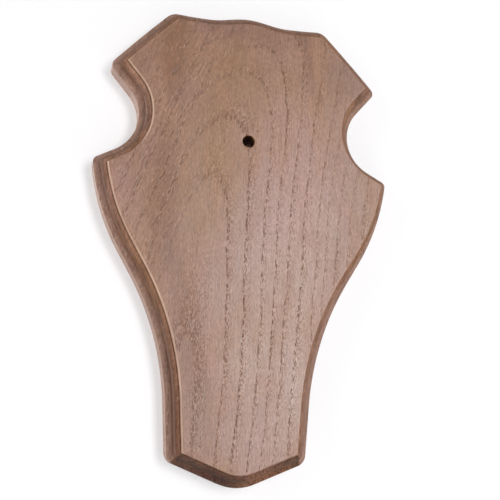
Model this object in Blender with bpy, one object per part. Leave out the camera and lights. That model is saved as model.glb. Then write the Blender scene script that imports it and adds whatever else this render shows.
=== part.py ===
# Antler mounting plaque: one shield-shaped board of stained wood with an ogee moulding run
# round its front edge, and one screw hole through it for the antlers.
#
# Metres. X runs across the board, Z up it, and the front faces -Y. The back lies in the plane
# y = 0, and the origin is the middle of the back, where the plaque bears on the wall.

import math

import bmesh
import bpy
from mathutils import Vector
from mathutils.geometry import intersect_line_line_2d

# Driving dimensions. "out" is measured sideways from the centre line, and "drop" down from
# the crown of the top edge. Rounds are those of the outer edge, seen from the front.
HEIGHT = 0.190                # crown to the tip of the foot
DIP_OUT = 0.0166              # lowest point of the hollow beside the crown
DIP_DROP = 0.0021
EAR_OUT = 0.0322              # corner at the end of the top edge
EAR_DROP = 0.0014
EAR_ROUND = 0.006
SLOPE_BOW = 0.00025           # how far the slope swells out from a straight line
SHOULDER_OUT = 0.05615        # corner above the side notch
SHOULDER_DROP = 0.02645
SHOULDER_ROUND = 0.0028
NOTCH_HEIGHT = 0.03955        # shoulder to hip, the corner below the side notch
NOTCH_ROUND = 0.0165          # hollow between the two straight flares of the notch
UPPER_FLARE_DEG = 49.6        # fall of the flare from the shoulder, below the horizontal
LOWER_FLARE_DEG = 27.8        # fall of the flare to the hip, below the horizontal
HIP_OUT = 0.06075
HIP_ROUND = 0.0024
SWAY_OUT = 0.04905            # point where the full flank runs into the slant
SWAY_BELOW_HIP = 0.0346
SWAY_LEAN_DEG = 30.6          # slant of the flank there, from the upright
KNEE_ROUND = 0.111            # long hollow between the slant and the leg
LEG_LEAN_DEG = 3.8            # slant of the leg above the heel, from the upright
HEEL_OUT = 0.02695            # corner at the foot
HEEL_RISE = 0.0095            # height of the heel above the tip
HEEL_ROUND = 0.0047
TIP_ROUND = 0.0187

WALL = 0.0080                 # square edge behind the moulding
COVE_RADIUS = 0.0026          # hollow lower part of the ogee
OGEE_UPRIGHT = 0.00035        # short upright between the hollow and the full part
BEAD_RADIUS = 0.00215         # full upper part of the ogee
FACE_STEP = 0.0010            # square step from the ogee up to the face

HOLE_DIAMETER = 0.005         # clearance for the screw that holds the antlers
HOLE_DROP = 0.0552

# Fineness of the faceted surface
RUN_STEPS = {"top": 14, "slope": 4, "upper_flare": 3, "lower_flare": 3, "flank": 10,
             "leg": 5, "foot": 10}
ROUND_STEPS = {"ear": 5, "shoulder": 5, "throat": 14, "hip": 5, "knee": 12, "heel": 5}
QUARTER_STEPS = 4             # facets in the cove and in the bead
HOLE_SIDES = 40
FINE = 48                     # points that a run is drawn with before it is trimmed
WELD = 0.00003                # points closer than this are one point
SMOOTH_DEG = 35               # edges that turn more than this are shaded sharp
HOLLOW_SHARE = 0.9            # of a straight side, the most that a hollow round may take up
CUT_MARGIN = 0.002            # how far the cutter reaches past each face

FACE_INSET = COVE_RADIUS + BEAD_RADIUS
THICKNESS = WALL + COVE_RADIUS + OGEE_UPRIGHT + BEAD_RADIUS + FACE_STEP
TOP = HEIGHT / 2


def place(out, drop):
    return Vector((out, TOP - drop))


def heading(degrees_below_horizontal):
    """Unit vector towards +X, falling by this angle."""
    angle = math.radians(degrees_below_horizontal)
    return Vector((math.cos(angle), -math.sin(angle)))


def straight(start, end, steps=FINE):
    return [start.lerp(end, i / steps) for i in range(steps + 1)]


def arc_arriving(start, end, travel, steps=FINE):
    """Arc from start to end that arrives along the unit vector travel."""
    chord = end - start
    half = chord.angle_signed(travel)
    points = []
    for i in range(steps + 1):
        part = half * i / steps
        # the chord of the first part of an arc leans back from the arc's whole chord
        reach = math.sin(part) / math.sin(half)
        lean = half - part
        along = Vector((chord.x * math.cos(lean) - chord.y * math.sin(lean),
                        chord.x * math.sin(lean) + chord.y * math.cos(lean)))
        points.append(start + along * reach)
    return points


def top_edge():
    """Crown, hollow dip and rise to the ear."""
    wave = [place(DIP_OUT * i / FINE, DIP_DROP * (1 - math.cos(math.pi * i / FINE)) / 2)
            for i in range(FINE + 1)]
    rise = arc_arriving(place(EAR_OUT, EAR_DROP), wave[-1], Vector((-1, 0)))
    return wave[:-1] + rise[::-1]


def slope_edge():
    """Nearly straight run from the ear down to the shoulder, fullest in its middle."""
    start = place(EAR_OUT, EAR_DROP)
    end = place(SHOULDER_OUT, SHOULDER_DROP)
    travel = (end - start).normalized()
    outward = Vector((-travel.y, travel.x))
    points = straight(start, end)
    return [p + outward * SLOPE_BOW * (1 - (2 * i / FINE - 1) ** 2) for i, p in enumerate(points)]


def meeting(start, travel, end, backwards):
    """Corner where the line from start along travel meets the line from end along backwards."""
    length = (end - start).cross(backwards) / travel.cross(backwards)
    return start + travel * length


def notch_flares():
    """The two straight sides of the notch, which meet at its throat."""
    shoulder = place(SHOULDER_OUT, SHOULDER_DROP)
    hip = place(HIP_OUT, SHOULDER_DROP + NOTCH_HEIGHT)
    throat = meeting(shoulder, heading(180 - UPPER_FLARE_DEG), hip, -heading(LOWER_FLARE_DEG))
    return straight(shoulder, throat), straight(throat, hip)


def flank_edges():
    """Full curve below the hip with the slant it runs into, and the leg above the heel."""
    hip = place(HIP_OUT, SHOULDER_DROP + NOTCH_HEIGHT)
    sway = place(SWAY_OUT, SHOULDER_DROP + NOTCH_HEIGHT + SWAY_BELOW_HIP)
    heel = place(HEEL_OUT, HEIGHT - HEEL_RISE)
    slant = heading(90 + SWAY_LEAN_DEG)
    knee = meeting(sway, slant, heel, -heading(90 + LEG_LEAN_DEG))
    flank = arc_arriving(hip, sway, slant)[:-1] + straight(sway, knee)
    return flank, straight(knee, heel)


def hollow_round(radius, before, after):
    """A hollow corner's round, no larger than the straight runs beside it can hold."""
    into, out_of = before[-1] - before[-FINE - 1], after[-1] - after[0]
    room = HOLLOW_SHARE * min(into.length, out_of.length)
    return min(radius, room / math.tan(into.angle(out_of) / 2))


def foot_edge():
    """Straight run in from the heel, and the round of the tip on the centre line."""
    heel = place(HEEL_OUT, HEIGHT - HEEL_RISE)
    centre = place(0, HEIGHT - TIP_ROUND)
    to_heel = heel - centre
    # the run in touches the tip's round where the radius is square to it
    opening = math.acos(TIP_ROUND / to_heel.length)
    touch = math.atan2(to_heel.y, to_heel.x) - opening
    below = -math.pi / 2
    tip = [centre + TIP_ROUND * Vector((math.cos(a), math.sin(a)))
           for a in (touch + (below - touch) * i / FINE for i in range(FINE + 1))]
    return straight(heel, tip[0], FINE // 2)[:-1] + tip


def inward_normals(run):
    """Unit vectors to the right of travel, which is inwards on a clockwise outline."""
    normals = []
    for i in range(len(run)):
        travel = (run[min(i + 1, len(run) - 1)] - run[max(i - 1, 0)]).normalized()
        normals.append(Vector((travel.y, -travel.x)))
    return normals


def moved_in(run, inset):
    return [p + n * inset for p, n in zip(run, inward_normals(run))]


def at(run, where):
    """Value at a place along a run, counted in points."""
    i = min(int(where), len(run) - 2)
    return run[i].lerp(run[i + 1], where - i)


def crossing(first, second):
    """Where the end of one run crosses the start of the next, and the place on each."""
    for i in reversed(range(len(first) - 1)):
        for j in range(len(second) - 1):
            hit = intersect_line_line_2d(first[i], first[i + 1], second[j], second[j + 1])
            if hit:
                on_first = i + (hit - first[i]).length / (first[i + 1] - first[i]).length
                on_second = j + (hit - second[j]).length / (second[j + 1] - second[j]).length
                return hit, on_first, on_second
    raise ValueError("two edges of the outline do not meet")


def outline():
    """Runs of the right half from the crown to the tip, and the round after each run."""
    upper, lower = notch_flares()
    flank, leg = flank_edges()
    runs = {"top": top_edge(), "slope": slope_edge(), "upper_flare": upper,
            "lower_flare": lower, "flank": flank, "leg": leg, "foot": foot_edge()}
    # the round of a hollow corner is centred outside the board, so its radius counts as minus
    rounds = {"ear": EAR_ROUND, "shoulder": SHOULDER_ROUND,
              "throat": -hollow_round(NOTCH_ROUND, upper, lower), "hip": HIP_ROUND,
              "knee": -hollow_round(KNEE_ROUND, flank, leg), "heel": HEEL_ROUND}
    return runs, rounds


def half_ring(runs, rounds, inset):
    """Right half of the outline moved in by inset: rounds shrink, and then become mitres."""
    names = list(runs)
    starts = {name: 0.0 for name in names}
    ends = {name: len(runs[name]) - 1.0 for name in names}
    arcs = {}
    for (corner, radius), first, second in zip(rounds.items(), names, names[1:]):
        reach = max(radius, inset) if radius > 0 else radius
        centre, end, start = crossing(moved_in(runs[first], reach), moved_in(runs[second], reach))
        ends[first] = end
        starts[second] = start
        normal_in = at(inward_normals(runs[first]), end).normalized()
        normal_out = at(inward_normals(runs[second]), start).normalized()
        steps = ROUND_STEPS[corner]
        arcs[first] = [centre - normal_in.slerp(normal_out, i / steps) * (reach - inset)
                       for i in range(1, steps)]
    points = []
    for name in names:
        run = moved_in(runs[name], inset)
        steps = RUN_STEPS[name]
        span = ends[name] - starts[name]
        points += [at(run, starts[name] + span * i / steps) for i in range(steps + 1)]
        points += arcs.get(name, [])
    return points


def ogee_profile():
    """Section of the edge from the back to the face, as (inset, distance in front of the back)."""
    section = [(0.0, 0.0)]
    for i in range(QUARTER_STEPS + 1):
        angle = math.radians(90 * i / QUARTER_STEPS)
        section.append((COVE_RADIUS * math.sin(angle), WALL + COVE_RADIUS * (1 - math.cos(angle))))
    bead_foot = WALL + COVE_RADIUS + OGEE_UPRIGHT
    for i in range(QUARTER_STEPS + 1):
        angle = math.radians(90 * i / QUARTER_STEPS)
        section.append((COVE_RADIUS + BEAD_RADIUS * (1 - math.cos(angle)),
                        bead_foot + BEAD_RADIUS * math.sin(angle)))
    section.append((FACE_INSET, THICKNESS))
    return section


def board_mesh():
    """The board as a loft of the outline through the section of its edge."""
    runs, rounds = outline()
    board = bmesh.new()
    loops = []
    for inset, front in ogee_profile():
        right = half_ring(runs, rounds, inset)
        left = [Vector((-p.x, p.y)) for p in right[-2:0:-1]]
        loops.append([board.verts.new((p.x, -front, p.y)) for p in right + left])
    for behind, ahead in zip(loops, loops[1:]):
        for i in range(len(behind)):
            board.faces.new((behind[i - 1], behind[i], ahead[i], ahead[i - 1]))
    board.faces.new(loops[0])
    board.faces.new(loops[-1])
    bmesh.ops.remove_doubles(board, verts=board.verts, dist=WELD)
    bmesh.ops.recalc_face_normals(board, faces=board.faces)
    mesh = bpy.data.meshes.new("plaque")
    board.to_mesh(mesh)
    board.free()
    mesh.shade_smooth()
    mesh.set_sharp_from_angle(angle=math.radians(SMOOTH_DEG))
    return mesh


def stained_oak():
    material = bpy.data.materials.new("stained_oak")
    material.use_nodes = True
    shader = material.node_tree.nodes["Principled BSDF"]
    shader.inputs["Base Color"].default_value = (0.24, 0.12, 0.07, 1)
    shader.inputs["Roughness"].default_value = 0.4
    shader.inputs["Metallic"].default_value = 0.0
    return material


def collection(name):
    made = bpy.data.collections.new(name)
    bpy.context.scene.collection.children.link(made)
    return made


def hole_cutter(cutters):
    """Round cutter for the screw hole, past both faces of the board."""
    bpy.ops.mesh.primitive_cylinder_add(
        vertices=HOLE_SIDES, radius=HOLE_DIAMETER / 2, depth=THICKNESS + 2 * CUT_MARGIN,
        location=(0, -THICKNESS / 2, TOP - HOLE_DROP), rotation=(math.radians(90), 0, 0))
    cutter = bpy.context.object
    cutter.name = "screw_hole_cutter"
    for owner in list(cutter.users_collection):
        owner.objects.unlink(cutter)
    cutters.objects.link(cutter)
    cutter.hide_render = True
    cutter.display_type = "WIRE"
    return cutter


def build():
    for item in list(bpy.data.objects):
        bpy.data.objects.remove(item)
    parts = collection("antler_mounting_plaque")
    cutters = collection("cutters")

    plaque = bpy.data.objects.new("plaque", board_mesh())
    plaque.data.materials.append(stained_oak())
    parts.objects.link(plaque)

    drilled = plaque.modifiers.new("screw_hole", "BOOLEAN")
    drilled.operation = "DIFFERENCE"
    drilled.solver = "EXACT"
    drilled.object = hole_cutter(cutters)


build()
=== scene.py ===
# Antler mounting plaque: one shield of brown-stained oak with an ogee moulding round its face.
# Lengths are in millimetres until a mesh, lamp or camera is made. The back lies in the plane y = 0,
# the face looks along -Y, and z is up, with 0 at mid height.

import math
from functools import partial
from types import SimpleNamespace

import bmesh
import bpy
from mathutils import Matrix, Vector
from mathutils.geometry import intersect_line_line_2d


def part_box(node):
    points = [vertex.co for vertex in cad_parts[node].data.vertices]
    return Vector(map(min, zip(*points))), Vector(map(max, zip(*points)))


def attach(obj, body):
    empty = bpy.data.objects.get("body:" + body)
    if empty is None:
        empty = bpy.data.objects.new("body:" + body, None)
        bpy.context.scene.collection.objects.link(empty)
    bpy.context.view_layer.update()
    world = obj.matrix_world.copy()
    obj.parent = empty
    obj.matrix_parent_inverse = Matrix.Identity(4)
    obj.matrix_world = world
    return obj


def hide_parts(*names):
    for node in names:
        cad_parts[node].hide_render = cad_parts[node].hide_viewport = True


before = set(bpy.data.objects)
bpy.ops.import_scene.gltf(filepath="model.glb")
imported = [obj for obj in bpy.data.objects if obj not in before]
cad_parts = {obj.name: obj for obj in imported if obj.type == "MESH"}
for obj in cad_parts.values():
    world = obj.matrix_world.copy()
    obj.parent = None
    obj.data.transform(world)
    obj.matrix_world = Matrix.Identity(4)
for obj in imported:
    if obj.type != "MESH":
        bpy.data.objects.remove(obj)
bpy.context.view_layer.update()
mm = 0.001                    # metres in a millimetre
metre = 1 / mm                # millimetres in a metre
boardLow, boardHigh = (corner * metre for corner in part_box("plaque"))
print("frame loaded, board in millimetres:", tuple(boardLow), tuple(boardHigh))


# Camera, at the photo's angle: a little to the left of the board and below its middle
cameraShot = {
    "stands": (-76.54, -339.68, -70.72),
    "looksAt": (1.60, -14.1, -4.42),  # on the face, beside its middle
    "rollDeg": 1.43,                  # the photo is this far off upright
    "lens": 62.86,
    "sensor": 36.0,
}


def makeCamera():
    lens = bpy.data.cameras.new("shotCamera")
    lens.lens = cameraShot["lens"]
    lens.sensor_width = cameraShot["sensor"]
    lens.clip_start = 0.01
    lens.clip_end = 20
    stands = Vector(cameraShot["stands"]) * mm
    look = Vector(cameraShot["looksAt"]) * mm - stands
    level = look.to_track_quat("-Z", "Y").to_matrix().to_4x4()
    roll = Matrix.Rotation(math.radians(cameraShot["rollDeg"]), 4, "Z")
    camera = bpy.data.objects.new("shotCamera", lens)
    camera.matrix_world = Matrix.Translation(stands) @ level @ roll
    bpy.context.scene.collection.objects.link(camera)
    bpy.context.scene.camera = camera


makeCamera()
print("camera set")


# The board. Places are (out, drop): sideways from the centre line, and down from the crown.
# Rounds are those of the outer edge, seen from the front, and a hollow one counts as minus.
plaque = {
    "dip": (16.6, 2.1),               # lowest point of the hollow beside the crown
    "ear": (32.2, 1.4),               # end of the top edge
    "slopeBow": 0.25,                 # how far the slope swells out of a straight line
    "shoulder": (56.15, 26.45),       # corner above the side notch
    "upperFlareDeg": 49.6,            # the notch's two straight flares, below the horizontal
    "lowerFlareDeg": 27.8,
    "hip": (60.75, 66.0),             # corner below the side notch
    "sway": (49.05, 100.6),           # where the full flank runs into the slant
    "slantDeg": 30.6,                 # slant and leg, from the upright
    "legDeg": 3.8,
    "heel": (26.95, 180.5),
    "tipRound": 18.7,
    "rounds": {"ear": 6.0, "shoulder": 2.8, "throat": -16.5, "hip": 2.4, "knee": -111.0, "heel": 4.7},
    "wall": 8.0,                      # square edge behind the moulding
    "cove": 2.6,                      # radius of the moulding's hollow
    "coveToneDeg": (-48, -26, -8),    # along it: the outer tone's end, the inner one's start and end
    "upright": 0.35,                  # between the cove and the bead
    "bead": 2.15,                     # radius of the moulding's full part
    "beadToneDeg": (172, 142, 128, 97),   # along it: the low tone's ends and the full one's
    "faceRound": 0.38,                # arrises, rubbed round with fine paper
    "wallRound": 0.25,
    "backRound": 0.4,
    "wallMargins": (0.6, 0.7),        # between the wall's tone and its two arrises
    "stepFoot": 0.2,                  # height of the step's foot, darkened as painted shade
    "faceMargins": (0.35, 1.3, 3.5),  # the rubbing fades over these
    "backMargin": 1.5,
    "slimmest": 0.76,                 # the moulding's least width down the right flank, as a share
    "slimDrop": 78.0,                 # where that is, and how far it reaches up and down
    "slimReach": 36.0,
    "hole": (0.0, 55.2),
    "holeAcross": 5.0,
    "holeRound": 0.2,
    "holeMargin": 1.2,                # round the hole, on the face and the back
    "holeMouth": 1.0,                 # depth at which the hole's own tone begins
}
# Stain and wear that each part of the section carries. Stain darkens, and at the upright, the low bead
# and the step's foot it is painted shade in the moulding's crevices. Below 0 it paints a greyish sheen
# on the wall and the outer hollow. Wear shows pale, and on arrises facing left it is also a painted
# highlight
sectionTone = {
    "back": (0.1, 0.0),
    "backArris": (0.0, 0.4),
    "wall": (-0.8, 0.0),
    "wallArris": (-0.6, 0.2),
    "coveOuter": (-0.7, 0.0),
    "coveInner": (0.1, 0.0),
    "upright": (0.7, 0.0),
    "beadLow": (0.5, 0.0),
    "beadFull": (0.0, 0.0),
    "step": (1.2, 0.0),
    "faceArris": (0.0, 1.0),
    "faceRim": (0.0, 0.4),
    "faceEdge": (0.0, 0.1),
    "face": (0.0, 0.0),
    "holeArris": (0.2, 0.3),
    "hole": (0.8, 0.0),
    "holeBackArris": (0.5, 0.2),
    "holeBack": (0.2, 0.0),
}
runSteps = {"top": 44, "slope": 20, "upperFlare": 10, "lowerFlare": 10, "flank": 44, "leg": 16,
            "foot": 34}
roundSteps = {"ear": 12, "shoulder": 12, "throat": 40, "hip": 12, "knee": 40, "heel": 14}
fineSteps = 96                # points that a run is drawn with before it is trimmed
holeSides = 64
weldGap = 0.004               # points closer than this are one point
smoothDeg = 32                # edges that turn more than this stay crisp


def place(outAndDrop):
    return Vector((outAndDrop[0], boardHigh.z - outAndDrop[1]))


def heading(degreesBelowHorizontal):
    angle = math.radians(degreesBelowHorizontal)
    return Vector((math.cos(angle), -math.sin(angle)))


def straightRun(start, end, steps=fineSteps):
    return [start.lerp(end, i / steps) for i in range(steps + 1)]


def arcArriving(start, end, travel):      # an arc that arrives along the unit vector travel
    chord = end - start
    half = chord.angle_signed(travel)
    points = []
    for i in range(fineSteps + 1):
        part = half * i / fineSteps
        reach = math.sin(part) / math.sin(half)
        lean = half - part
        along = Vector((chord.x * math.cos(lean) - chord.y * math.sin(lean),
                        chord.x * math.sin(lean) + chord.y * math.cos(lean)))
        points.append(start + along * reach)
    return points


def meeting(start, travel, end, backwards):
    return start + travel * ((end - start).cross(backwards) / travel.cross(backwards))


def topRun():                             # crown, hollow dip and rise to the ear
    dipOut, dipDrop = plaque["dip"]
    wave = [place((dipOut * i / fineSteps, dipDrop * (1 - math.cos(math.pi * i / fineSteps)) / 2))
            for i in range(fineSteps + 1)]
    rise = arcArriving(place(plaque["ear"]), wave[-1], Vector((-1, 0)))
    return wave[:-1] + rise[::-1]


def slopeRun():                           # nearly straight from the ear to the shoulder
    start, end = place(plaque["ear"]), place(plaque["shoulder"])
    travel = (end - start).normalized()
    outward = Vector((-travel.y, travel.x)) * plaque["slopeBow"] * 4
    return [p + outward * (i / fineSteps) * (1 - i / fineSteps)
            for i, p in enumerate(straightRun(start, end))]


def notchRuns():
    shoulder, hip = place(plaque["shoulder"]), place(plaque["hip"])
    inward = heading(180 - plaque["upperFlareDeg"])
    throat = meeting(shoulder, inward, hip, -heading(plaque["lowerFlareDeg"]))
    return straightRun(shoulder, throat), straightRun(throat, hip)


def flankRuns():                          # full curve and slant below the hip, then the leg
    hip, sway, heel = place(plaque["hip"]), place(plaque["sway"]), place(plaque["heel"])
    slant = heading(90 + plaque["slantDeg"])
    knee = meeting(sway, slant, heel, -heading(90 + plaque["legDeg"]))
    return arcArriving(hip, sway, slant)[:-1] + straightRun(sway, knee), straightRun(knee, heel)


def footRun():                            # straight in from the heel, and round at the tip
    radius = plaque["tipRound"]
    heel = place(plaque["heel"])
    centre = Vector((0, boardLow.z + radius))
    toHeel = heel - centre
    touch = math.atan2(toHeel.y, toHeel.x) - math.acos(radius / toHeel.length)
    below = -math.pi / 2
    tip = [centre + radius * Vector((math.cos(a), math.sin(a)))
           for a in (touch + (below - touch) * i / fineSteps for i in range(fineSteps + 1))]
    return straightRun(heel, tip[0], fineSteps // 2)[:-1] + tip


def inwardNormals(run):
    last = len(run) - 1
    normals = []
    for i in range(len(run)):
        travel = (run[min(i + 1, last)] - run[max(i - 1, 0)]).normalized()
        normals.append(Vector((travel.y, -travel.x)))
    return normals


def movedIn(run, inset):
    return [p + n * inset for p, n in zip(run, inwardNormals(run))]


def between(run, where):                  # a value between two points of a run
    i = min(int(where), len(run) - 2)
    return run[i].lerp(run[i + 1], where - i)


def crossing(first, second):
    for i in reversed(range(len(first) - 1)):
        for j in range(len(second) - 1):
            hit = intersect_line_line_2d(first[i], first[i + 1], second[j], second[j + 1])
            if hit:
                onFirst = i + (hit - first[i]).length / (first[i + 1] - first[i]).length
                onSecond = j + (hit - second[j]).length / (second[j + 1] - second[j]).length
                return hit, onFirst, onSecond
    raise ValueError("two edges of the outline do not meet")


def halfRing(runs, inset):                # right half of the outline, moved in by inset
    names = list(runs)
    starts = {name: 0.0 for name in names}
    ends = {name: len(runs[name]) - 1.0 for name in names}
    arcs = {}
    for (corner, radius), first, second in zip(plaque["rounds"].items(), names, names[1:]):
        reach = max(radius, inset) if radius > 0 else radius
        insetRuns = movedIn(runs[first], reach), movedIn(runs[second], reach)
        centre, ends[first], starts[second] = crossing(*insetRuns)
        normalIn = between(inwardNormals(runs[first]), ends[first]).normalized()
        normalOut = between(inwardNormals(runs[second]), starts[second]).normalized()
        steps = roundSteps[corner]
        arcs[first] = [centre - normalIn.slerp(normalOut, i / steps) * (reach - inset)
                       for i in range(1, steps)]
    points = []
    for name in names:
        run = movedIn(runs[name], inset)
        span = ends[name] - starts[name]
        steps = runSteps[name]
        points += [between(run, starts[name] + span * i / steps) for i in range(steps + 1)]
        points += arcs.get(name, [])
    return points


def sectionArc(centre, radius, fromDeg, toDeg, steps):
    angles = [math.radians(fromDeg + (toDeg - fromDeg) * i / steps) for i in range(steps + 1)]
    return [(centre[0] + radius * math.cos(a), centre[1] + radius * math.sin(a)) for a in angles]


def edgeSection():                        # rings from the back to the face: inset, front, stain with painted shade and sheen, wear
    wall, cove, bead = plaque["wall"], plaque["cove"], plaque["bead"]
    back, edge, arris = plaque["backRound"], plaque["wallRound"], plaque["faceRound"]
    face = -boardLow.y
    beadFoot = wall + cove + plaque["upright"]
    stepFoot = beadFoot + bead
    faceInset = cove + bead
    low, high = plaque["wallMargins"]
    coveStart = math.degrees(math.asin(edge / cove)) - 90     # where the cove leaves the rounded edge
    outerEnd, innerStart, innerEnd = plaque["coveToneDeg"]
    lowStart, lowEnd, fullStart, fullEnd = plaque["beadToneDeg"]
    rim, nearEdge, inside = (faceInset + arris + margin for margin in plaque["faceMargins"])
    stages = [
        ("back", [(back + plaque["backMargin"], 0)]),
        ("backArris", sectionArc((back, back), back, 270, 180, steps=5)),
        ("wall", [(0, back + low), (0, wall - edge - high)]),
        ("wallArris", sectionArc((edge, wall - edge), edge, 180, 90, steps=5)),
        ("coveOuter", sectionArc((0, wall + cove), cove, coveStart, outerEnd, steps=8)),
        ("coveInner", sectionArc((0, wall + cove), cove, innerStart, innerEnd, steps=4)),
        ("upright", [(cove, wall + cove), (cove, beadFoot)]),
        ("beadLow", sectionArc((faceInset, beadFoot), bead, lowStart, lowEnd, steps=5)),
        ("beadFull", sectionArc((faceInset, beadFoot), bead, fullStart, fullEnd, steps=7)),
        ("step", [(faceInset, stepFoot), (faceInset, stepFoot + plaque["stepFoot"])]),
        ("faceArris", sectionArc((faceInset + arris, face - arris), arris, 180, 90, steps=7)),
        ("faceRim", [(rim, face)]),
        ("faceEdge", [(nearEdge, face)]),
        ("face", [(inside, face)]),
    ]
    return [(inset, front, *sectionTone[part]) for part, points in stages for inset, front in points]


def holeSection():                        # the same from the face to the back, out from the hole's axis
    radius, soft = plaque["holeAcross"] / 2, plaque["holeRound"]
    around = radius + soft + plaque["holeMargin"]
    face = -boardLow.y
    mouth = plaque["holeMouth"]
    stages = [
        ("face", [(around, face)]),
        ("holeArris", sectionArc((radius + soft, face - soft), soft, 90, 180, steps=4)),
        ("hole", [(radius, face - mouth), (radius, mouth)]),
        ("holeBackArris", sectionArc((radius + soft, soft), soft, 180, 270, steps=4)),
        ("holeBack", [(around, 0)]),
    ]
    return [(out, front, *sectionTone[part]) for part, points in stages for out, front in points]


def edgeRing(runs, inset, front):         # hand work: the moulding is slimmer down the right flank
    full = halfRing(runs, inset)
    slim = halfRing(runs, inset * plaque["slimmest"])
    left = [Vector((-p.x, p.y)) for p in full[-2:0:-1]]
    level = boardHigh.z - plaque["slimDrop"]
    right = [p.lerp(q, math.exp(-((p.y - level) / plaque["slimReach"]) ** 2))
             for p, q in zip(full, slim)]
    return [(p.x, -front, p.y) for p in right + left]


def holeRing(out, front):
    centre = place(plaque["hole"])
    turns = [2 * math.pi * i / holeSides for i in range(holeSides)]
    return [(centre.x + out * math.cos(a), -front, centre.y + out * math.sin(a)) for a in turns]


def addLoft(board, rings):                # rings of (points, stain with painted shade and sheen, wear), joined in their order
    stainShadeAndSheenLayer = board.verts.layers.float["stainShadeAndSheen"]
    wearLayer = board.verts.layers.float["wear"]
    loops = []
    for points, stainShadeAndSheen, wear in rings:
        loop = [board.verts.new(point) for point in points]
        for vert in loop:
            vert[stainShadeAndSheenLayer] = stainShadeAndSheen
            vert[wearLayer] = wear
        loops.append(loop)
    for behind, ahead in zip(loops, loops[1:]):
        for i in range(len(behind)):
            board.faces.new((behind[i - 1], behind[i], ahead[i], ahead[i - 1]))


def makePlaque(material):
    upper, lower = notchRuns()
    flank, leg = flankRuns()
    runs = {"top": topRun(), "slope": slopeRun(), "upperFlare": upper, "lowerFlare": lower,
            "flank": flank, "leg": leg, "foot": footRun()}
    board = bmesh.new()
    board.verts.layers.float.new("stainShadeAndSheen")
    board.verts.layers.float.new("wear")
    addLoft(board, [(edgeRing(runs, inset, front), stainShadeAndSheen, wear)
                    for inset, front, stainShadeAndSheen, wear in edgeSection()])
    addLoft(board, [(holeRing(out, front), stainShadeAndSheen, wear)
                    for out, front, stainShadeAndSheen, wear in holeSection()])
    bmesh.ops.remove_doubles(board, verts=board.verts, dist=weldGap)
    rims = [edge for edge in board.edges if edge.is_boundary]
    for side in (0.0, boardLow.y):        # the flat back, then the flat face
        rim = [edge for edge in rims if abs(edge.verts[0].co.y - side) < weldGap]
        bmesh.ops.triangle_fill(board, use_beauty=True, edges=rim)
    bmesh.ops.recalc_face_normals(board, faces=board.faces)
    gaps = sum(not edge.is_manifold for edge in board.edges)
    if gaps:
        raise ValueError(f"the board has {gaps} open edges")
    fit = boardHigh.x / max(vert.co.x for vert in board.verts)  # the finer outline is a hair wider
    bmesh.ops.scale(board, vec=(mm * fit, mm, mm), verts=board.verts)
    mesh = bpy.data.meshes.new("oakBoard")
    board.to_mesh(mesh)
    board.free()
    mesh.shade_smooth()
    mesh.set_sharp_from_angle(angle=math.radians(smoothDeg))
    mesh.materials.append(material)
    piece = bpy.data.objects.new("oakBoard", mesh)
    bpy.context.scene.collection.objects.link(piece)
    return piece


# Materials
def linearColour(hexCode):                # "#rrggbb" in sRGB to linear light
    channels = [int(hexCode[i:i + 2], 16) / 255 for i in (1, 3, 5)]
    return tuple(c / 12.92 if c <= 0.04045 else ((c + 0.055) / 1.055) ** 2.4 for c in channels) + (1.0,)


def addNode(tree, kind, inputs=None, out=0, **settings):  # sets and links a node, and gives one output
    made = tree.nodes.new("ShaderNode" + kind)
    for name, value in settings.items():
        setattr(made, name, value)
    for socket, value in (inputs or {}).items():
        if isinstance(value, bpy.types.NodeSocket):
            tree.links.new(value, made.inputs[socket])
        else:
            made.inputs[socket].default_value = value
    return made.outputs[out] if out is not None else made


# Settings that many nodes share. The two for a Mix node go with its colour sockets, 6 and 7
smooth = {"interpolation_type": "SMOOTHSTEP"}
mixing = {"out": 2, "data_type": "RGBA"}
tinting = {"out": 2, "data_type": "RGBA", "blend_type": "MULTIPLY"}

# Plain-sawn European oak, stained brown and sealed with a thin satin lacquer. The stain sits dark in
# the long open pores where each year's growth begins, on end grain and down in the moulding, whose
# crevices also carry painted shade, and whose wall and outer hollow carry a painted greyish sheen.
# The arrises are rubbed paler, with a painted highlight on those facing left, and the lacquer gives a
# soft broad sheen and no mirror.
stainedOak = {
    "ochre": "#875E41",               # the stained wood drifts between ochre and pink
    "pink": "#8B6554",
    "early": "#754B32",
    "earlyMix": 0.3,
    "fleck": "#A88775",
    "fleckMix": 0.9,
    "pore": "#4A2A19",
    "poreMix": 0.66,
    "moulding": "#6A472D",
    "paintedSheen": "#95796C",           # a painted greyish sheen on the outer hollow and the wall
    "endGrain": "#4A2C17",
    # paler arrises, rubbed and painted as a highlight
    "wornAndHighlit": "#C7A38B",
}
# Below, a pair named cell is a pattern's step in millimetres, across and along the grain. What is held
# as From and To is a ramp, and turns one measure into another


def stretched(add, spot, cell):           # the spot, counted in steps of a pattern
    across, along = cell
    return add("VectorMath", {0: spot, 1: (1 / across, 1 / across, 1 / along)}, operation="MULTIPLY")


def readPlaces(add):                      # where a point lies, in millimetres, and the way it faces
    at = SimpleNamespace()
    local = add("TexCoord", out=None).outputs
    at.spot = add("VectorMath", {0: local["Object"], "Scale": metre}, operation="SCALE")
    at.x, at.y, at.z = add("SeparateXYZ", {0: at.spot}, out=None).outputs
    at.drop = add("Math", {0: boardHigh.z, 1: at.z}, operation="SUBTRACT")
    at.behindFace = add("Math", {0: at.y, 1: boardLow.y}, operation="SUBTRACT")
    at.slant = add("Math", {0: at.drop, 1: figure["slantPerDrop"], 2: at.x}, operation="MULTIPLY_ADD")
    upright = add("VectorMath", {0: local["Normal"], 1: (1.0, 0.0, 1.0)}, operation="MULTIPLY")
    outward = add("VectorMath", {0: upright}, operation="NORMALIZE")
    facing = add("SeparateXYZ", {0: outward}, out=None).outputs
    at.facingX, at.facingZ = facing["X"], facing["Z"]
    return at


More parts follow.
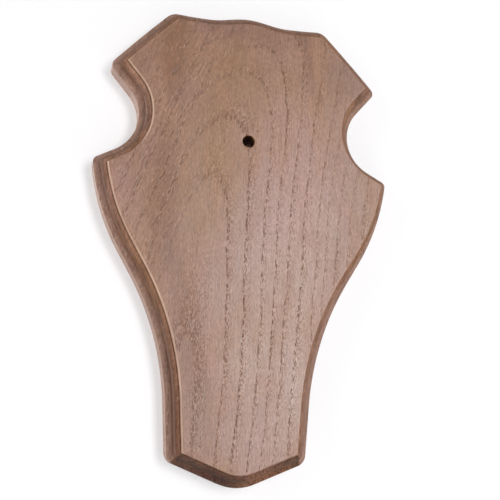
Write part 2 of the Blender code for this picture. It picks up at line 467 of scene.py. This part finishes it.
# Figure of the grain. The heart of the tree lies in front of the face and to its left, and further
# right and deeper at the crown, so the rings arch there and run down the right side
figure = {
    "pithOut": -13.5,
    "pithDrift": -0.07,               # sideways for each millimetre of drop
    "pithSwing": 24.0,
    "pithDepthSquared": 250.0,        # near the foot, and how much is added at the crown
    "pithRiseSquared": 1550.0,
    "pithFade": 40.0,                 # drop in which the swing and the rise fall to a third
    "ringStep": 4.7,                  # one year's growth
    "wanderPerStep": 0.11,            # how fast the rings' spacing wanders, and by how many years
    "wanderYears": 0.5,
    "swayCell": (30.0, 60.0),
    "sway": 1.6,
    "wobbleCell": (9.0, 13.5),
    "wobble": 0.4,
    "earlyWood": {"From Min": 0.05, "From Max": 0.2, "To Min": 1.0, "To Max": 0.0},  # parts of a year
    "poreZone": {"From Min": 0.1, "From Max": 0.55, "To Min": 1.0, "To Max": 0.0},
    "yearLuck": {"To Min": 0.55, "To Max": 1.0},
    "slantPerDrop": 0.25,             # the left and right sides part along a slant
    "clearer": {"From Min": -4.0, "From Max": 22.0, "To Min": 0.7, "To Max": 1.0},
    "fainter": {"From Min": 16.0, "From Max": 42.0, "To Min": 1.0, "To Max": 0.5},
    "leftSide": {"From Min": -10.0, "From Max": 2.0, "To Min": 1.0, "To Max": 0.0},
    "leanDeg": 22.0,                  # the grain leans on the left, and its years are slanted bands
    "bandStep": 6.5,
    "bandPart": {"From Min": 0.06, "From Max": 0.3, "To Min": 1.0, "To Max": 0.0},
    "bandLuck": {"To Min": 0.45, "To Max": 1.0},
    "bandDark": 0.7,
}
noiseSpread = 4.0             # a noise strays about a quarter to each side of its middle, a half


def strayedAcross(add, at):               # x, with the rings' slow sway and small wobble
    sway = add("TexNoise", {"Vector": stretched(add, at.spot, figure["swayCell"]), "Scale": 1.0,
                            "Detail": 1.0})
    wobble = add("TexNoise", {"Vector": stretched(add, at.spot, figure["wobbleCell"]), "Scale": 1.0,
                              "Detail": 2.0})
    swayed = add("Math", {0: sway, 1: noiseSpread * figure["sway"], 2: at.x}, operation="MULTIPLY_ADD")
    wobbled = add("Math", {0: wobble, 1: noiseSpread * figure["wobble"], 2: swayed},
                  operation="MULTIPLY_ADD")
    middle = noiseSpread / 2 * (figure["sway"] + figure["wobble"])
    return add("Math", {0: wobbled, 1: middle}, operation="SUBTRACT")


def countYears(add, at, strayed):         # years of growth, from the distance to the pith
    faded = add("Math", {0: at.drop, 1: -1 / figure["pithFade"]}, operation="MULTIPLY")
    fade = add("Math", {0: faded}, operation="EXPONENT")
    drift = add("Math", {0: at.drop, 1: figure["pithDrift"], 2: figure["pithOut"]},
                operation="MULTIPLY_ADD")
    pithX = add("Math", {0: fade, 1: figure["pithSwing"], 2: drift}, operation="MULTIPLY_ADD")
    beside = add("Math", {0: strayed, 1: pithX}, operation="SUBTRACT")
    depthSquared = add("Math", {0: fade, 1: figure["pithRiseSquared"], 2: figure["pithDepthSquared"]},
                       operation="MULTIPLY_ADD")
    depthAtFace = add("Math", {0: depthSquared}, operation="SQRT")
    depth = add("Math", {0: depthAtFace, 1: at.behindFace}, operation="ADD")
    fromPith = add("CombineXYZ", {0: beside, 1: depth})
    reach = add("VectorMath", {0: fromPith}, out="Value", operation="LENGTH")
    wanderAt = add("Math", {0: reach, 1: figure["wanderPerStep"]}, operation="MULTIPLY")
    wander = add("TexNoise", {"W": wanderAt, "Scale": 1.0, "Detail": 0.0}, noise_dimensions="1D")
    evenly = add("Math", {0: reach, 1: figure["ringStep"]}, operation="DIVIDE")
    return add("Math", {0: wander, 1: figure["wanderYears"], 2: evenly}, operation="MULTIPLY_ADD")


def growRings(add, at):                   # the dark early wood, the zone of open pores, and the lean
    grain = SimpleNamespace()
    strayed = strayedAcross(add, at)
    years = countYears(add, at, strayed)
    season = add("Math", {0: years}, operation="FRACT")
    spring = add("MapRange", {"Value": season, **figure["earlyWood"]}, **smooth)
    opening = add("MapRange", {"Value": season, **figure["poreZone"]}, **smooth)
    year = add("Math", {0: years}, operation="FLOOR")
    yearLuck = add("TexWhiteNoise", {"W": year}, noise_dimensions="1D")
    strength = add("MapRange", {"Value": yearLuck, **figure["yearLuck"]})
    clear = add("MapRange", {"Value": at.slant, **figure["clearer"]}, **smooth)
    faint = add("MapRange", {"Value": at.x, **figure["fainter"]})
    shown = add("Math", {0: clear, 1: faint}, operation="MULTIPLY")
    marked = add("Math", {0: strength, 1: shown}, operation="MULTIPLY")

    lean = -math.tan(math.radians(figure["leanDeg"]))
    leanX = add("Math", {0: at.z, 1: lean, 2: at.x}, operation="MULTIPLY_ADD")
    grain.leaning = add("CombineXYZ", {0: leanX, 1: at.y, 2: at.z})
    grain.leftSide = add("MapRange", {"Value": at.slant, **figure["leftSide"]})
    leanStrayed = add("Math", {0: at.z, 1: lean, 2: strayed}, operation="MULTIPLY_ADD")
    bands = add("Math", {0: leanStrayed, 1: figure["bandStep"]}, operation="DIVIDE")
    bandSeason = add("Math", {0: bands}, operation="FRACT")
    bandPart = add("MapRange", {"Value": bandSeason, **figure["bandPart"]}, **smooth)
    bandYear = add("Math", {0: bands}, operation="FLOOR")
    bandLuck = add("TexWhiteNoise", {"W": bandYear}, noise_dimensions="1D")
    bandStrength = add("MapRange", {"Value": bandLuck, **figure["bandLuck"]})
    band = add("Math", {0: bandPart, 1: bandStrength}, operation="MULTIPLY")
    banded = add("Math", {0: band, 1: grain.leftSide}, operation="MULTIPLY")
    springMarked = add("Math", {0: spring, 1: marked}, operation="MULTIPLY")
    bandDark = add("Math", {0: banded, 1: figure["bandDark"]}, operation="MULTIPLY")
    grain.early = add("Math", {0: springMarked, 1: bandDark}, operation="MAXIMUM")
    openMarked = add("Math", {0: opening, 1: marked}, operation="MULTIPLY")
    grain.porous = add("Math", {0: openMarked, 1: banded}, operation="MAXIMUM")
    return grain


# The carved edge, found by its depth behind the face. Where it faces down or up it lays bare the end
# grain, by how far the way out of the board points down (minus) or up
cutEdge = {
    "carved": {"From Min": 0.15, "From Max": 0.9},
    "offBack": {"From Min": -0.4, "From Max": -0.05, "To Min": 1.0, "To Max": 0.0},
    "under": {"From Min": -0.7, "From Max": -0.88, "To Max": 0.8},
    "above": {"From Min": 0.6, "From Max": 0.95, "To Max": 0.1},
}


def readEdge(add, at):
    edge = SimpleNamespace()
    sunk = add("MapRange", {"Value": at.behindFace, **cutEdge["carved"]})
    offBack = add("MapRange", {"Value": at.y, **cutEdge["offBack"]})
    edge.carved = add("Math", {0: sunk, 1: offBack}, operation="MULTIPLY")
    edge.under = add("MapRange", {"Value": at.facingZ, **cutEdge["under"]}, **smooth)
    above = add("MapRange", {"Value": at.facingZ, **cutEdge["above"]}, **smooth)
    bared = add("Math", {0: edge.under, 1: above}, operation="MAXIMUM")
    edge.crossCut = add("Math", {0: bared, 1: edge.carved}, operation="MULTIPLY")
    return edge


# Vessels are slots in a cell each: the cell, and the parts of it between which the slot fades out
vessels = {
    "wide": ((0.75, 2.3), 0.28, 0.5),     # a vessel is 0.3 wide, drawn wider so that it shows
    "narrow": ((0.34, 1.3), 0.2, 0.42),
    "torn": ((0.5, 1.7), 0.18, 0.4),      # the narrow ones on the left, where the grain tears
    "rims": ((0.5, 2.6), 0.12, 0.4),      # pale rims of pores that are cut at a slant
    "blotchCell": (8.0, 20.0),
    "crowd": {"To Min": 0.06, "To Max": 1.0},
    "sparse": {"To Min": 0.18, "To Max": 0.75},
    "ragged": {"From Min": 2.0, "From Max": 16.0, "To Min": 0.7, "To Max": 0.0},
    "blotchy": {"From Min": 0.4, "From Max": 0.6, "To Min": 0.18, "To Max": 0.585},
}


def slots(add, spot, cell, inner, outer):
    cells = add("TexVoronoi", {"Vector": stretched(add, spot, cell), "Scale": 1.0})
    return add("MapRange", {"Value": cells, "From Min": inner, "From Max": outer, "To Min": 1.0,
                            "To Max": 0.0}, **smooth)


def bySide(add, grain, upright, slanted):  # slanted on the left, and upright elsewhere
    return add("Mix", {0: grain.leftSide, 2: upright, 3: slanted})


def openPores(add, at, grain, edge):      # thick in the early wood and on end grain, few elsewhere
    pore = SimpleNamespace()
    pore.blotch = add("TexNoise", {"Vector": stretched(add, at.spot, vessels["blotchCell"]),
                                   "Scale": 1.0, "Detail": 3.0})
    pore.ragged = add("MapRange", {"Value": at.slant, **vessels["ragged"]}, **smooth)
    blotchy = add("MapRange", {"Value": pore.blotch, **vessels["blotchy"]})
    scattered = add("Math", {0: pore.ragged, 1: blotchy}, operation="MULTIPLY")
    thick = add("Math", {0: grain.early, 1: edge.crossCut}, operation="MAXIMUM")
    crowd = add("MapRange", {"Value": thick, **vessels["crowd"]})
    wideSlots = bySide(add, grain, slots(add, at.spot, *vessels["wide"]),
                       slots(add, grain.leaning, *vessels["wide"]))
    wide = add("Math", {0: wideSlots, 1: crowd}, operation="MULTIPLY")
    zoned = add("MapRange", {"Value": grain.porous, **vessels["sparse"]})
    sparse = add("Math", {0: zoned, 1: scattered}, operation="MAXIMUM")
    narrowSlots = bySide(add, grain, slots(add, at.spot, *vessels["narrow"]),
                         slots(add, grain.leaning, *vessels["torn"]))
    narrow = add("Math", {0: narrowSlots, 1: sparse}, operation="MULTIPLY")
    pore.open = add("Math", {0: wide, 1: narrow}, operation="MAXIMUM")
    rimmed = add("Math", {0: grain.porous, 1: scattered}, operation="MAXIMUM")
    rims = slots(add, grain.leaning, *vessels["rims"])
    pore.flecks = add("Math", {0: rims, 1: rimmed}, operation="MULTIPLY")
    return pore


# Shades of the fibres, the speckle of the stain and the strokes of torn grain
fibres = {
    "fibreCell": (0.5, 9.0),          # fibres are 0.02 wide, drawn as the streaks that they make
    "speckleCell": (0.7, 1.8),
    "tornCell": (0.55, 3.2),
    "fineShade": {"From Min": 0.3, "From Max": 0.7, "To Min": 0.84, "To Max": 1.16},
    "blotchShade": {"From Min": 0.3, "From Max": 0.7, "To Min": 0.92, "To Max": 1.08},
    "tornPale": {"From Min": 0.54, "From Max": 0.66, "To Max": 0.35},
    "tornDark": {"From Min": 0.46, "From Max": 0.34, "To Max": 0.35},
    "tornZone": {"To Min": 0.12},
    "toneRange": {"From Min": 0.7, "From Max": 1.3},
    "darkTone": (0.72, 0.66, 0.61, 1.0),  # a dark shade is warmer than a pale one
    "paleTone": (1.28, 1.34, 1.39, 1.0),
}


def shadeFibres(add, at, grain, pore):
    thread = SimpleNamespace()
    cells = [stretched(add, spot, fibres["fibreCell"]) for spot in (at.spot, grain.leaning)]
    streaks = [add("TexNoise", {"Vector": cell, "Scale": 1.0, "Detail": 3.0}) for cell in cells]
    thread.fibre = bySide(add, grain, *streaks)
    speckle = add("TexNoise", {"Vector": stretched(add, at.spot, fibres["speckleCell"]), "Scale": 1.0,
                               "Detail": 1.0})
    torn = add("TexNoise", {"Vector": stretched(add, grain.leaning, fibres["tornCell"]), "Scale": 1.0,
                            "Detail": 1.0})
    fibreShade = add("MapRange", {"Value": thread.fibre, **fibres["fineShade"]})
    speckleShade = add("MapRange", {"Value": speckle, **fibres["fineShade"]})
    blotchShade = add("MapRange", {"Value": pore.blotch, **fibres["blotchShade"]})
    fine = add("Math", {0: fibreShade, 1: speckleShade}, operation="MULTIPLY")
    shade = add("Math", {0: fine, 1: blotchShade}, operation="MULTIPLY")
    tornPale = add("MapRange", {"Value": torn, **fibres["tornPale"]})
    tornDark = add("MapRange", {"Value": torn, **fibres["tornDark"]})
    strokes = add("Math", {0: tornPale, 1: tornDark}, operation="SUBTRACT")
    tornZone = add("MapRange", {"Value": grain.porous, **fibres["tornZone"]})
    tornThere = add("Math", {0: pore.ragged, 1: tornZone}, operation="MULTIPLY")
    textured = add("Math", {0: strokes, 1: tornThere, 2: shade}, operation="MULTIPLY_ADD")
    thread.tone = add("Mix", {"Factor": add("MapRange", {"Value": textured, **fibres["toneRange"]}),
                              6: fibres["darkTone"], 7: fibres["paleTone"]}, **mixing)
    return thread


# Broad patches of tone in this board: (out, drop), half width, half height, lean in degrees, the tint
# that its middle has, beside the wood round it, in linear light. Three pale bluish ones, right of the
# centre line from the middle to the foot, are a painted sheen, and the crown and top corners are darker
facePatches = {
    "upperStreak": ((-31.0, 22.0), 4.5, 20.0, -4.0, (0.84, 0.76, 0.66)),
    "sideStreak": ((-33.5, 82.0), 5.5, 34.0, 2.0, (0.80, 0.70, 0.60)),
    "lowerStreak": ((-20.5, 136.0), 6.0, 40.0, 11.0, (0.80, 0.70, 0.58)),
    "leftFoot": ((-28.0, 166.0), 6.0, 30.0, 4.0, (0.80, 0.68, 0.60)),
    "leftRim": ((-53.0, 88.0), 9.0, 26.0, 24.0, (1.15, 1.13, 1.12)),
    "crown": ((0.0, 2.0), 34.0, 11.0, 0.0, (0.84, 0.82, 0.82)),
    "heart": ((-16.0, 70.0), 13.0, 30.0, 0.0, (0.98, 0.97, 0.80)),
    "crownHeart": ((-14.0, 24.0), 16.0, 16.0, 0.0, (0.97, 0.96, 0.84)),
    "rightCorner": ((49.0, 76.0), 8.0, 14.0, 0.0, (0.92, 0.88, 0.70)),
    "rightFlank": ((41.0, 98.0), 6.0, 16.0, -12.0, (0.90, 0.82, 0.76)),
    "leftMargin": ((-47.0, 80.0), 6.0, 16.0, 14.0, (1.00, 1.04, 1.14)),
    "topCorner": ((45.0, 24.0), 11.0, 12.0, 0.0, (0.84, 0.84, 0.84)),
    "topLeft": ((-34.0, 10.0), 14.0, 10.0, 0.0, (0.90, 0.90, 0.86)),
    # the next three, pale and bluish, are a painted sheen
    "lowerSheen": ((13.0, 126.0), 18.0, 52.0, 0.0, (1.03, 1.09, 1.20)),
    "middle": ((18.0, 66.0), 15.0, 40.0, 0.0, (1.10, 1.12, 1.22)),
    "foot": ((8.0, 164.0), 15.0, 26.0, 0.0, (1.06, 1.12, 1.30)),
    "topStreak": ((25.0, 20.0), 2.5, 16.0, 8.0, (0.84, 0.78, 0.76)),
}
edgePatches = {                       # the same, in the carved edge alone; three of them paint light and shade
    # painted shade: the foot's moulding on the lower left faces away from the light
    "leftToeShade": ((-15.0, 189.0), 15.0, 6.0, 0.0, (0.62, 0.35, 0.22)),
    "leftSlope": ((-47.0, 12.0), 5.0, 22.0, -47.0, (1.20, 1.22, 1.10)),
    "throat": ((-47.0, 54.0), 5.0, 8.0, 0.0, (1.05, 0.98, 0.72)),
    # painted light: the foot's moulding on the lower right is lit
    "rightToeLight": ((16.0, 187.0), 15.0, 6.0, 0.0, (1.75, 1.6, 1.3)),
    # painted light from the lower left, paler and greyer, in the left notch
    "leftNotchLight": ((-48.0, 42.0), 6.0, 14.0, 0.0, (1.4, 1.45, 1.5)),
    "rightNotch": ((46.0, 46.0), 4.0, 12.0, 0.0, (1.15, 1.18, 1.2)),
}
broadTone = {
    "mottleCell": (26.0, 46.8),
    "mottle": {"From Min": 0.35, "From Max": 0.65},
    "fray": 0.9,                      # how ragged the patches' rims are
    "patch": {"From Min": 0.5, "From Max": 1.35, "To Min": 1.0, "To Max": 0.0},
}


def tinted(add, at, colour, patch, frayed, within):  # the colour with one patch on it, of tone or of painted light
    (out, down), halfWide, halfTall, leanDeg, tint = patch
    aside = add("VectorMath", {0: at.spot, 1: (out, 0.0, boardHigh.z - down)}, operation="SUBTRACT")
    turned = add("VectorRotate", {"Vector": aside, "Angle": math.radians(leanDeg)},
                 rotation_type="Y_AXIS")
    shrunk = add("VectorMath", {0: turned, 1: (1 / halfWide, 0.0, 1 / halfTall)}, operation="MULTIPLY")
    apart = add("VectorMath", {0: shrunk}, out="Value", operation="LENGTH")
    ragged = add("Math", {0: apart, 1: frayed}, operation="ADD")
    reached = add("MapRange", {"Value": ragged, **broadTone["patch"]}, **smooth)
    share = add("Math", {0: reached, 1: within}, operation="MULTIPLY")
    return add("Mix", {"Factor": share, 6: colour, 7: tint + (1.0,)}, **tinting)


def colourWood(add, at, grain, edge, pore, thread):  # the stained wood with its patches, some of them painted light, before its pores
    mottle = add("TexNoise", {"Vector": stretched(add, at.spot, broadTone["mottleCell"]), "Scale": 1.0,
                              "Detail": 2.0})
    pinker = add("MapRange", {"Value": mottle, **broadTone["mottle"]})
    toned = add("Mix", {"Factor": pinker, 6: linearColour(stainedOak["ochre"]),
                        7: linearColour(stainedOak["pink"])}, **mixing)
    frayed = add("Math", {0: pore.blotch, 1: broadTone["fray"], 2: -broadTone["fray"] / 2},
                 operation="MULTIPLY_ADD")
    for patch in facePatches.values():
        toned = tinted(add, at, toned, patch, frayed, 1.0)
    for patch in edgePatches.values():
        toned = tinted(add, at, toned, patch, frayed, edge.carved)
    earlyShare = add("Math", {0: grain.early, 1: stainedOak["earlyMix"]}, operation="MULTIPLY")
    sprung = add("Mix", {"Factor": earlyShare, 6: toned, 7: linearColour(stainedOak["early"])}, **mixing)
    fleckShare = add("Math", {0: pore.flecks, 1: stainedOak["fleckMix"]}, operation="MULTIPLY")
    flecked = add("Mix", {"Factor": fleckShare, 6: sprung, 7: linearColour(stainedOak["fleck"])},
                  **mixing)
    return add("Mix", {"Factor": 1.0, 6: flecked, 7: thread.tone}, **tinting)


# What the stain and years of handling did to the edge, with painted light on it: a greyish painted
# sheen, and a painted highlight on the rubbed arrises that face left
edgeFinish = {
    "sheenPaling": 0.9,
    "spotCell": (3.2, 14.0),          # dark spots of stain in the moulding, drawn out along the grain
    "spots": {"From Min": 0.46, "From Max": 0.66, "To Max": 0.7},
    "spotsOffSheen": 0.6,
    # the arrises that get a painted highlight: those facing left, and not up or down
    "highlitLeft": {"From Min": 0.1, "From Max": -0.7, "To Min": 0.1, "To Max": 1.0},
    "highlitSides": {"From Min": 0.4, "From Max": 0.75, "To Min": 1.0, "To Max": 0.15},
    "patchyWear": {"From Min": 0.3, "From Max": 0.7, "To Min": 0.5, "To Max": 1.0},
}


def besideOchre(name):                    # a colour as a tint of the ochre wood
    colour, ochre = linearColour(stainedOak[name]), linearColour(stainedOak["ochre"])
    return tuple(a / b for a, b in zip(colour, ochre))


def wearAndHighlightShare(add, at, edge, pore):     # the pale arrises: rubbed, and a painted highlight strongest where they face left, not up or down
    wear = add("Attribute", out="Fac", attribute_name="wear")
    left = add("MapRange", {"Value": at.facingX, **edgeFinish["highlitLeft"]})
    sides = add("MapRange", {"Value": at.facingZ, **edgeFinish["highlitSides"]})
    uncut = add("Math", {0: 1.0, 1: edge.under}, operation="SUBTRACT")
    patchy = add("MapRange", {"Value": pore.blotch, **edgeFinish["patchyWear"]})
    highlitSide = add("Math", {0: left, 1: sides}, operation="MULTIPLY")
    highlitEdge = add("Math", {0: highlitSide, 1: uncut}, operation="MULTIPLY")
    wornAndHighlit = add("Math", {0: highlitEdge, 1: patchy}, operation="MULTIPLY")
    return add("Math", {0: wear, 1: wornAndHighlit}, operation="MULTIPLY")


def finishColour(add, at, edge, pore, thread, wood):
    stainShadeAndSheen = add("Attribute", out="Fac", attribute_name="stainShadeAndSheen")
    # the section's stain, where high, is painted shade in the moulding's crevices, and below 0 a painted
    # greyish sheen
    dark = add("Math", {0: stainShadeAndSheen, 1: 0.0}, operation="MAXIMUM")
    paler = add("Math", {0: stainShadeAndSheen, 1: -edgeFinish["sheenPaling"]}, operation="MULTIPLY", use_clamp=True)
    longGrain = add("Math", {0: 1.0, 1: edge.crossCut}, operation="SUBTRACT")
    # a painted greyish sheen where the stain goes below 0, on long grain only
    sheenShare = add("Math", {0: paler, 1: longGrain}, operation="MULTIPLY")
    paintedSheen = add("Mix", {"Factor": 1.0, 6: linearColour(stainedOak["paintedSheen"]), 7: thread.tone},
                    **tinting)
    greyed = add("Mix", {"Factor": sheenShare, 6: wood, 7: paintedSheen}, **mixing)
    poreShare = add("Math", {0: pore.open, 1: stainedOak["poreMix"]}, operation="MULTIPLY")
    pored = add("Mix", {"Factor": poreShare, 6: greyed, 7: linearColour(stainedOak["pore"])}, **mixing)
    spots = add("TexNoise", {"Vector": stretched(add, at.spot, edgeFinish["spotCell"]), "Scale": 1.0,
                             "Detail": 3.0})
    spotted = add("MapRange", {"Value": spots, **edgeFinish["spots"]})
    spotless = add("Math", {0: sheenShare, 1: edgeFinish["spotsOffSheen"]}, operation="MULTIPLY")
    spottable = add("Math", {0: edge.carved, 1: spotless}, operation="SUBTRACT", use_clamp=True)
    spotShare = add("Math", {0: spotted, 1: spottable}, operation="MULTIPLY")
    patched = add("Mix", {"Factor": spotShare, 6: pored, 7: besideOchre("moulding")}, **tinting)
    stainedAndShaded = add("Mix", {"Factor": dark, 6: patched, 7: besideOchre("moulding")}, clamp_factor=False,
                 **tinting)
    ended = add("Mix", {"Factor": edge.crossCut, 6: stainedAndShaded, 7: besideOchre("endGrain")}, **tinting)
    # rubbed arrises, with a painted highlight on those facing left
    wearAndHighlight = wearAndHighlightShare(add, at, edge, pore)
    return add("Mix", {"Factor": wearAndHighlight, 6: ended, 7: linearColour(stainedOak["wornAndHighlit"])}, **mixing)


# Thin satin lacquer, duller in the moulding and over the pores, which stay as small hollows
lacquer = {
    "ior": 1.5,
    "roughness": {"From Min": 0.3, "From Max": 0.7, "To Min": 0.32, "To Max": 0.41},
    "dullerCarved": 0.4,
    "dullerPores": 0.2,
    "specularInHole": 0.05,           # no lacquer went down the hole
    "specular": 0.5,
    "holeRim": (0.05, 0.2),           # beyond the hole's radius
    "fibreRelief": 0.1,               # as a share of the pores' depth
    "relief": 0.12,
    "reliefStrength": 0.6,
}


def lacquerOver(add, at, edge, pore, thread, colour):
    sheen = add("MapRange", {"Value": pore.blotch, **lacquer["roughness"]})
    dulled = add("Math", {0: edge.carved, 1: lacquer["dullerCarved"], 2: sheen},
                 operation="MULTIPLY_ADD")
    roughness = add("Math", {0: pore.open, 1: lacquer["dullerPores"], 2: dulled},
                    operation="MULTIPLY_ADD", use_clamp=True)
    holeOut, holeDrop = plaque["hole"]
    beside = add("VectorMath", {0: at.spot, 1: (holeOut, 0.0, boardHigh.z - holeDrop)},
                 operation="SUBTRACT")
    flattened = add("VectorMath", {0: beside, 1: (1.0, 0.0, 1.0)}, operation="MULTIPLY")
    fromHole = add("VectorMath", {0: flattened}, out="Value", operation="LENGTH")
    rimStart, rimEnd = (plaque["holeAcross"] / 2 + beyond for beyond in lacquer["holeRim"])
    specular = add("MapRange", {"Value": fromHole, "From Min": rimStart, "From Max": rimEnd,
                                "To Min": lacquer["specularInHole"], "To Max": lacquer["specular"]})
    ridges = add("Math", {0: thread.fibre, 1: lacquer["fibreRelief"]}, operation="MULTIPLY")
    height = add("Math", {0: ridges, 1: pore.open}, operation="SUBTRACT")
    relief = add("Bump", {"Height": height, "Strength": lacquer["reliefStrength"],
                          "Distance": lacquer["relief"] * mm})
    return add("BsdfPrincipled", {"Base Color": colour, "Roughness": roughness, "Normal": relief,
                                  "IOR": lacquer["ior"], "Specular IOR Level": specular})


def makeStainedOak():
    material = bpy.data.materials.new("stainedOak")
    material.use_nodes = True
    tree = material.node_tree
    tree.nodes.clear()
    add = partial(addNode, tree)
    at = readPlaces(add)
    grain = growRings(add, at)
    edge = readEdge(add, at)
    pore = openPores(add, at, grain, edge)
    thread = shadeFibres(add, at, grain, pore)
    wood = colourWood(add, at, grain, edge, pore, thread)
    colour = finishColour(add, at, edge, pore, thread, wood)
    add("OutputMaterial", {"Surface": lacquerOver(add, at, edge, pore, thread, colour)}, out=None)
    return material


oakBoard = makePlaque(makeStainedOak())
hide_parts("plaque")
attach(oakBoard, "root")
print("board made, faces:", len(oakBoard.data.polygons))


# Studio: a plain pale wall that the board hangs on, and a plain pale floor under it
studio = {
    "paint": "#F4F3F4",
    "panel": "#B3B2B4",               # the wall is a pale panel, lit a little from behind
    "panelGlow": 0.5,
    "wallBehind": 0.4,                # the board's back stands this far off the wall
    "wallWide": 2600.0,
    "floorBelow": 420.0,              # under the board's tip
    "wallTall": 1500.0,
    "floorDeep": 2600.0,
    "skyLight": 0.15,
}
# Each lamp aims at the board: degrees to the right of the front, degrees up, distance, width, watts
lamps = {
    "lowBox": (19.5, 0.0, 1400.0, 560.0, 9.3),
    "highBox": (19.0, 15.0, 1400.0, 560.0, 5.2),
    "fillLamp": (-56.0, 14.0, 1400.0, 450.0, 3.1),
    "topLamp": (0.0, 75.0, 1400.0, 450.0, 1.9),
    "rearLamp": (-138.0, 10.0, 1200.0, 600.0, 12.5),
}


def makePaint(name, colour, glow):        # matt, and seen from its front alone, so no view is shut off
    material = bpy.data.materials.new(name)
    material.use_nodes = True
    tree = material.node_tree
    tree.nodes.clear()
    matt = addNode(tree, "BsdfDiffuse", {"Color": linearColour(colour)})
    lit = addNode(tree, "Emission", {"Strength": glow})
    front = addNode(tree, "AddShader", {0: matt, 1: lit})
    through = addNode(tree, "BsdfTransparent")
    side = addNode(tree, "NewGeometry", out="Backfacing")
    shown = addNode(tree, "MixShader", {0: side, 1: front, 2: through})
    addNode(tree, "OutputMaterial", {0: shown}, out=None)
    return material


def makeSheet(name, corners, material):
    mesh = bpy.data.meshes.new(name)
    mesh.from_pydata([Vector(corner) * mm for corner in corners], [], [range(len(corners))])
    mesh.materials.append(material)
    sheet = bpy.data.objects.new(name, mesh)
    sheet.visible_shadow = False          # the rear lamp reaches the board's back
    bpy.context.scene.collection.objects.link(sheet)


def makeWallAndFloor():
    panel = makePaint("palePanel", studio["panel"], studio["panelGlow"])
    paint = makePaint("palePaint", studio["paint"], 0.0)
    half = studio["wallWide"] / 2
    behind = studio["wallBehind"]
    low = boardLow.z - studio["floorBelow"]
    high = low + studio["wallTall"]
    deep = studio["floorDeep"] / 2
    wall = [(-half, behind, low), (half, behind, low), (half, behind, high), (-half, behind, high)]
    floor = [(-half, -deep, low), (half, -deep, low), (half, deep, low), (-half, deep, low)]
    makeSheet("wall", wall, panel)
    makeSheet("floor", floor, paint)


def makeLamps():
    for name, (turnDeg, riseDeg, distance, across, watts) in lamps.items():
        lamp = bpy.data.lights.new(name, "AREA")
        lamp.shape = "DISK"
        lamp.size = across * mm
        lamp.energy = watts
        holder = bpy.data.objects.new(name, lamp)
        turn = Matrix.Rotation(math.radians(turnDeg), 3, "Z")
        rise = Matrix.Rotation(math.radians(-riseDeg), 3, "X")
        holder.location = turn @ rise @ Vector((0, -distance * mm, 0))
        holder.rotation_euler = (-holder.location).to_track_quat("-Z", "Y").to_euler()
        bpy.context.scene.collection.objects.link(holder)


def makeSky():
    sky = bpy.data.worlds.new("studioSky")
    sky.use_nodes = True
    background = sky.node_tree.nodes["Background"]
    background.inputs["Color"].default_value = linearColour(studio["paint"])
    background.inputs["Strength"].default_value = studio["skyLight"]
    bpy.context.scene.world = sky
    bpy.context.scene.view_settings.view_transform = "Standard"


makeWallAndFloor()
makeLamps()
makeSky()
print("studio lit")
